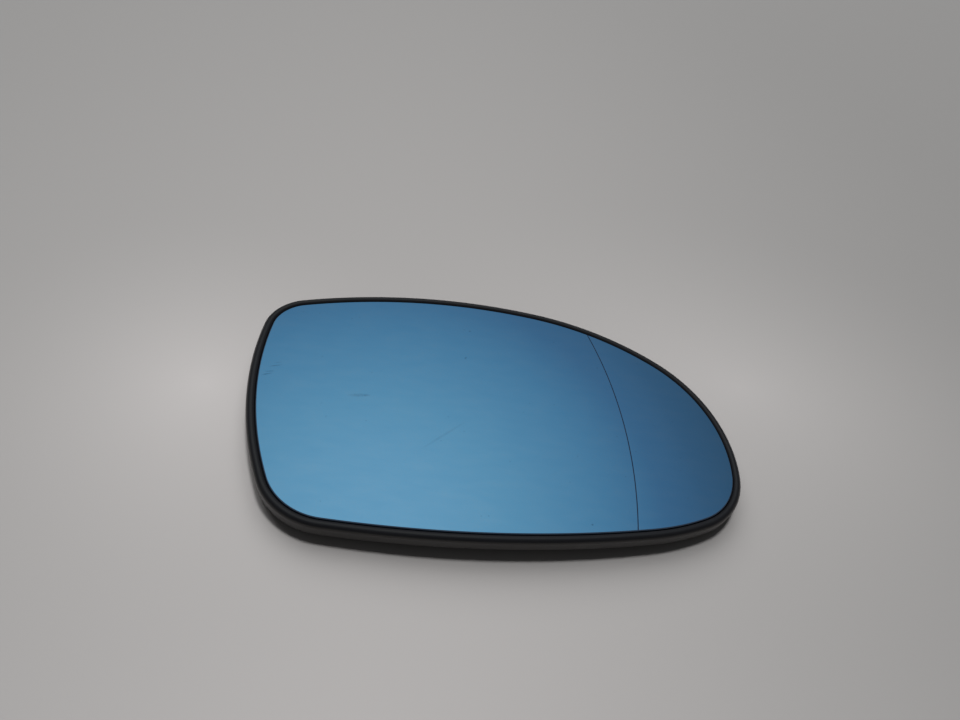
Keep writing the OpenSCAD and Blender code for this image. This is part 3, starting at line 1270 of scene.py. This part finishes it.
@dataclass(frozen=True)
class Terminal:
    """Blade bent from tinned strip, with its foot on the heating foil.

    Lengths are in millimetres.
    """

    front: ConvexFront
    side: Side
    foil_below: float = 2.4
    solder_gap: float = 0.05
    from_axis: float = 37.0
    turn: float = 30.0
    width: float = 6.3
    thickness: float = 0.8
    foot: float = 8.0
    blade: float = 8.0
    bend_r: float = 1.1
    bend_steps: int = 6
    tip: float = 1.2
    tip_thickness: float = 0.5
    hole_d: float = 1.7
    hole_steps: int = 24
    stamped_edge: float = 0.08

    def placement(self, below: float) -> Matrix:
        """Place of the terminal, square to the front of the glass.

        Args:
            below: Depth below the front at which its foot's upper face lies.

        Returns:
            The placement, in millimetres.
        """
        x, y, z = self.front.place(np.array([0.0, -self.from_axis]), below)[0]
        lean = math.asin(self.from_axis / self.front.main_r)
        turned = Matrix.Rotation(math.radians(self.side.value * self.turn), 4, "Z")
        return turned @ Matrix.Translation((x, y, z)) @ Matrix.Rotation(lean, 4, "X")

    def build(self) -> bpy.types.Object:
        """Builds the strip, bends it and punches its hole.

        Returns:
            The terminal.
        """
        half, thin = self.width / 2, self.thickness - self.tip_thickness
        end = self.foot / 2
        # Place of the strip's outer face, direction to its inner one, half width, and loss at the tip
        rows = [((-end, 0.0), (0.0, -1.0), half, 0.0)]
        for a in np.linspace(math.pi / 2, 0, self.bend_steps + 1):
            bent = (end - self.bend_r + self.bend_r * math.cos(a), -self.bend_r + self.bend_r * math.sin(a))
            rows.append((bent, (-math.cos(a), -math.sin(a)), half, 0.0))
        rows.append(((end, -self.blade + self.tip), (-1.0, 0.0), half, 0.0))
        rows.append(((end, -self.blade), (-1.0, 0.0), half - self.tip, thin / 2))
        placed = self.placement(self.foil_below + self.solder_gap)
        sections = []
        for (y, z), (inward_y, inward_z), reach, shaved in rows:
            outer, inner = ((y + t * inward_y, z + t * inward_z) for t in (shaved, self.thickness - shaved))
            corners = [(-reach, *outer), (reach, *outer), (reach, *inner), (-reach, *inner)]
            sections.append(np.array([placed @ Vector(corner) for corner in corners]))
        piece = make_object(f"blade_{self.side.name.lower()}", *tube(sections))
        # The hole lies halfway down the blade, as its socket's latch does
        centre_z = -self.blade / 2 - self.thickness
        turns = np.radians(np.linspace(0, 360, self.hole_steps + 1)[:-1])
        radius = self.hole_d / 2
        circle = [(radius * math.cos(a), centre_z + radius * math.sin(a)) for a in turns]
        punch = [
            np.array([placed @ Vector((x, y, z)) for x, z in circle])
            for y in (end - 2 * self.thickness, end + self.thickness)
        ]
        combine(piece, make_object("punch", *tube(punch)), Join.CUT)
        round_edges(piece, self.stamped_edge)
        return piece

    def dress(self, piece: bpy.types.Object) -> None:
        """Gives the terminal its material and its place in the part."""
        dress(piece, [TinnedBrass().build()], "tinned_brass", f"terminal_{self.side.name.lower()}")


def heading_of(azimuth: float, height: float) -> Vector:
    """Gives the unit vector at an azimuth from the part's X and a height above the floor, in degrees."""
    turn, rise = math.radians(azimuth), math.radians(height)
    return Vector((math.cos(rise) * math.cos(turn), math.cos(rise) * math.sin(turn), math.sin(rise)))


@dataclass(frozen=True)
class PaintedLightPool:
    """Pool of light painted on the floor, which fades out from its middle.

    Lengths are in millimetres.
    """

    x: float
    y: float
    reach_x: float
    reach_y: float
    strength: float


@dataclass(frozen=True)
class Lamp:
    """Round lamp that faces the part, placed by the direction that the part sees it in.

    Angles are in degrees and the size is in millimetres.
    """

    name: str
    azimuth: float
    height: float
    size: float
    watts: float

    def hang(self, distance: float) -> None:
        """Adds the lamp to the scene, unseen in gloss, where the tent stands for it.

        Args:
            distance: Distance from the part, in millimetres.
        """
        data = bpy.data.lights.new(self.name, "AREA")
        data.shape = "DISK"
        data.size = self.size * MM
        data.energy = self.watts
        lamp = bpy.data.objects.new(self.name, data)
        bpy.context.scene.collection.objects.link(lamp)
        heading = heading_of(self.azimuth, self.height)
        lamp.location = heading * distance * MM
        lamp.rotation_euler = heading.to_track_quat("Z", "Y").to_euler()
        lamp.visible_glossy = False


@dataclass(frozen=True)
class Studio:
    """Pale floor with pools of light painted on it, which fades far out into the backdrop, soft light from
    above, and the photograph's camera.

    Lengths are in millimetres. The camera's angles are those that the photograph was taken at.
    """

    # Width of the photograph in pixels, and the focal length that its outline was matched at
    image_w: float = 960.0
    focal_px: float = 850.0
    sensor: float = 36.0
    # Place of the camera from the crown of the glass, and its turn about X, Y and Z
    camera_place: tuple[float, float, float] = (-47.33, -211.0, 242.33)
    camera_turn: tuple[float, float, float] = (43.714, -9.834, 0.557)
    near_clip: float = 10.0
    # Colour of the card at the middle of a painted pool of light, and where no pool reaches
    painted_pool_tint: str = "#bbb8b7"
    far_tint: str = "#908f8e"
    backdrop_tint: str = "#949392"
    # Pools of light painted on the floor: a wide one in front of the part, and a tight one beside each of
    # its ends
    painted_light_pools: tuple[PaintedLightPool, ...] = (
        PaintedLightPool(-40.0, -204.0, 448.0, 830.0, strength=1.0),
        PaintedLightPool(-112.0, 6.0, 113.0, 112.0, strength=0.58),
        PaintedLightPool(110.0, 40.0, 194.0, 136.0, strength=0.45),
    )
    # Distances from the part between which the floor's colour fades into the backdrop's tint
    sweep_from: float = 330.0
    sweep_to: float = 1000.0
    floor_size: float = 6000.0
    # Card is dull, with a faint mottle of this size
    card_mottle: float = 60.0
    card_roughness: tuple[float, float] = (0.75, 0.9)
    card_gloss: float = 0.1
    # A small lamp draws the shadow's edge, and a broad one lower down softens what is past it
    lamps: tuple[Lamp, ...] = (
        Lamp("small_lamp", azimuth=110.0, height=87.0, size=300.0, watts=18.0),
        Lamp("broad_lamp", azimuth=105.0, height=53.0, size=2300.0, watts=32.0),
    )
    lamp_distance: float = 2000.0
    fill: float = 0.08
    # Direction of the tent's brightest place, as seen from the glass
    glow: tuple[float, float] = (95.0, 63.0)
    # Pale walls around the floor, as seen in gloss, and the sines of the heights they fade between
    wall_tint: str = "#8f9092"
    wall_low: float = 0.0
    wall_high: float = 0.25
    # How bright the tent looks in a mirror, by the cosine of the angle from its brightest place
    tent: tuple[tuple[float, str], ...] = (
        (0.0, "#3a3d46"), (0.70, "#53575e"), (0.847, "#77808e"), (0.89, "#8490a0"),
        (0.927, "#9dadb8"), (0.954, "#b2bfc6"), (0.976, "#c5cfd2"), (1.0, "#dee0e0"),
    )

    def camera(self, crown_z: float) -> None:
        """Sets the camera up as the photograph's was.

        Args:
            crown_z: Height of the glass's crown, in millimetres.
        """
        data = bpy.data.cameras.new("camera")
        data.sensor_width = self.sensor
        data.lens = self.focal_px / self.image_w * self.sensor
        data.clip_start = self.near_clip * MM
        camera = bpy.data.objects.new("camera", data)
        bpy.context.scene.collection.objects.link(camera)
        camera.location = (Vector(self.camera_place) + Vector((0, 0, crown_z))) * MM
        camera.rotation_euler = [math.radians(angle) for angle in self.camera_turn]
        bpy.context.scene.camera = camera

    def floor(self) -> None:
        """Lays the floor at the height of the collar's end face."""
        half = self.floor_size / 2
        corners = np.array([(-half, -half, 0), (half, -half, 0), (half, half, 0), (-half, half, 0)])
        piece = make_object("floor", corners, [(0, 1, 2, 3)])
        piece.data.materials.append(self.card())

    def card(self) -> bpy.types.Material:
        """Makes the floor's material: pale card, with pools of light painted into its colour.

        Returns:
            The material.
        """
        card = Nodes(bpy.data.materials.new("pale_card_floor"))
        mottle = card.add(
            "ShaderNodeTexNoise",
            {"Vector": card.place, "Scale": 1 / (self.card_mottle * MM), "Detail": 2.0},
        )
        low, high = self.card_roughness
        rough = card.add("ShaderNodeMapRange", {"Value": mottle, "To Min": low, "To Max": high})
        # Painted light: each pool makes the card's colour paler towards the pool's middle
        painted_light: float | bpy.types.Node = 0.0
        for painted_pool in self.painted_light_pools:
            placed = card.add(
                "ShaderNodeMapping",
                {
                    "Vector": card.place,
                    "Location": (painted_pool.x * MM, painted_pool.y * MM, 0.0),
                    "Scale": (painted_pool.reach_x * MM, painted_pool.reach_y * MM, 1.0),
                },
                vector_type="TEXTURE",
            )
            painted_pool_fade = card.add("ShaderNodeTexGradient", {"Vector": placed}, gradient_type="QUADRATIC_SPHERE")
            painted_light = card.add(
                "ShaderNodeMath", {0: painted_pool_fade.outputs["Fac"], 1: painted_pool.strength, 2: painted_light},
                operation="MULTIPLY_ADD",
            )
        colour = card.add(
            "ShaderNodeMix", {0: painted_light, 6: linear(self.far_tint), 7: linear(self.painted_pool_tint)},
            data_type="RGBA", clamp_factor=False,
        )
        # Far out, the card is lit by itself as the backdrop is, so that no horizon shows
        away = card.add("ShaderNodeVectorMath", {0: card.place}, operation="LENGTH")
        swept = card.add(
            "ShaderNodeMapRange",
            {"Value": away, "From Min": self.sweep_from * MM, "From Max": self.sweep_to * MM},
            interpolation_type="SMOOTHSTEP",
        )
        colour = card.add("ShaderNodeMix", {0: swept, 6: colour, 7: (0.0, 0.0, 0.0, 1.0)}, data_type="RGBA")
        return card.surface({
            "Base Color": colour, "Roughness": rough, "Specular IOR Level": self.card_gloss,
            "Emission Color": linear(self.backdrop_tint), "Emission Strength": swept,
        })

    def light(self) -> None:
        """Hangs the lamps and sets the tent: an even fill for the light, a soft falloff for gloss."""
        for lamp in self.lamps:
            lamp.hang(self.lamp_distance)
        world = bpy.data.worlds.new("tent")
        bpy.context.scene.world = world
        tent = Nodes(world, "Generated")
        glow = tuple(heading_of(*self.glow))
        nearness = tent.add("ShaderNodeVectorMath", {0: tent.place, 1: glow}, operation="DOT_PRODUCT")
        ramp = tent.add("ShaderNodeValToRGB", {"Fac": nearness})
        stops = ramp.color_ramp.elements
        for place, _ in self.tent[1:-1]:
            stops.new(place)
        for stop, (_, colour) in zip(stops, self.tent):
            stop.color = linear(colour)
        height = tent.add("ShaderNodeSeparateXYZ", {0: tent.place}).outputs["Z"]
        above_wall = tent.add(
            "ShaderNodeMapRange", {"Value": height, "From Min": self.wall_low, "From Max": self.wall_high},
            interpolation_type="SMOOTHSTEP",
        )
        rays = tent.add("ShaderNodeLightPath").outputs
        seen = rays["Is Camera Ray"]
        for ray in ("Is Glossy Ray", "Is Transmission Ray"):
            seen = tent.add("ShaderNodeMath", {0: seen, 1: rays[ray]}, operation="MAXIMUM")
        # The camera sees the backdrop, mirrors and gloss see the tent, and the rest gets the fill
        shown = tent.add(
            "ShaderNodeMix", {0: above_wall, 6: linear(self.wall_tint), 7: ramp}, data_type="RGBA"
        )
        shown = tent.add(
            "ShaderNodeMix", {0: rays["Is Camera Ray"], 6: shown, 7: linear(self.backdrop_tint)},
            data_type="RGBA",
        )
        fill = (self.fill, self.fill, self.fill, 1.0)
        shown = tent.add("ShaderNodeMix", {0: seen, 6: fill, 7: shown}, data_type="RGBA")
        background = tent.add("ShaderNodeBackground", {"Color": shown, "Strength": 1.0})
        tent.add("ShaderNodeOutputWorld", {"Surface": background})


def main() -> None:
    """Builds the part's looks around its construction, piece by piece, and the studio."""
    logging.basicConfig(level=logging.INFO, format="%(message)s")
    low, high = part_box("mirror_glass")
    width, height = (high.x - low.x) / MM, (high.y - low.y) / MM
    outline = Outline(width, height)
    front = ConvexFront(high.z / MM, width)

    glass = MirrorGlass(outline, front)
    glass.dress(glass.build())

    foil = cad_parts["heating_foil"]
    foil.data.materials.clear()
    foil.data.materials.append(HeaterFilm().build())
    LOG.info("%s: construction node with its own finish", foil.name)

    terminals = [Terminal(front, side) for side in Side]
    for terminal in terminals:
        terminal.dress(terminal.build())

    carrier = Carrier(outline, front)
    carrier.dress(carrier.build(terminals))

    studio = Studio()
    studio.camera(front.crown_z)
    studio.floor()
    studio.light()
    bpy.context.scene.view_settings.view_transform = "Standard"


if __name__ == "__main__":
    main()
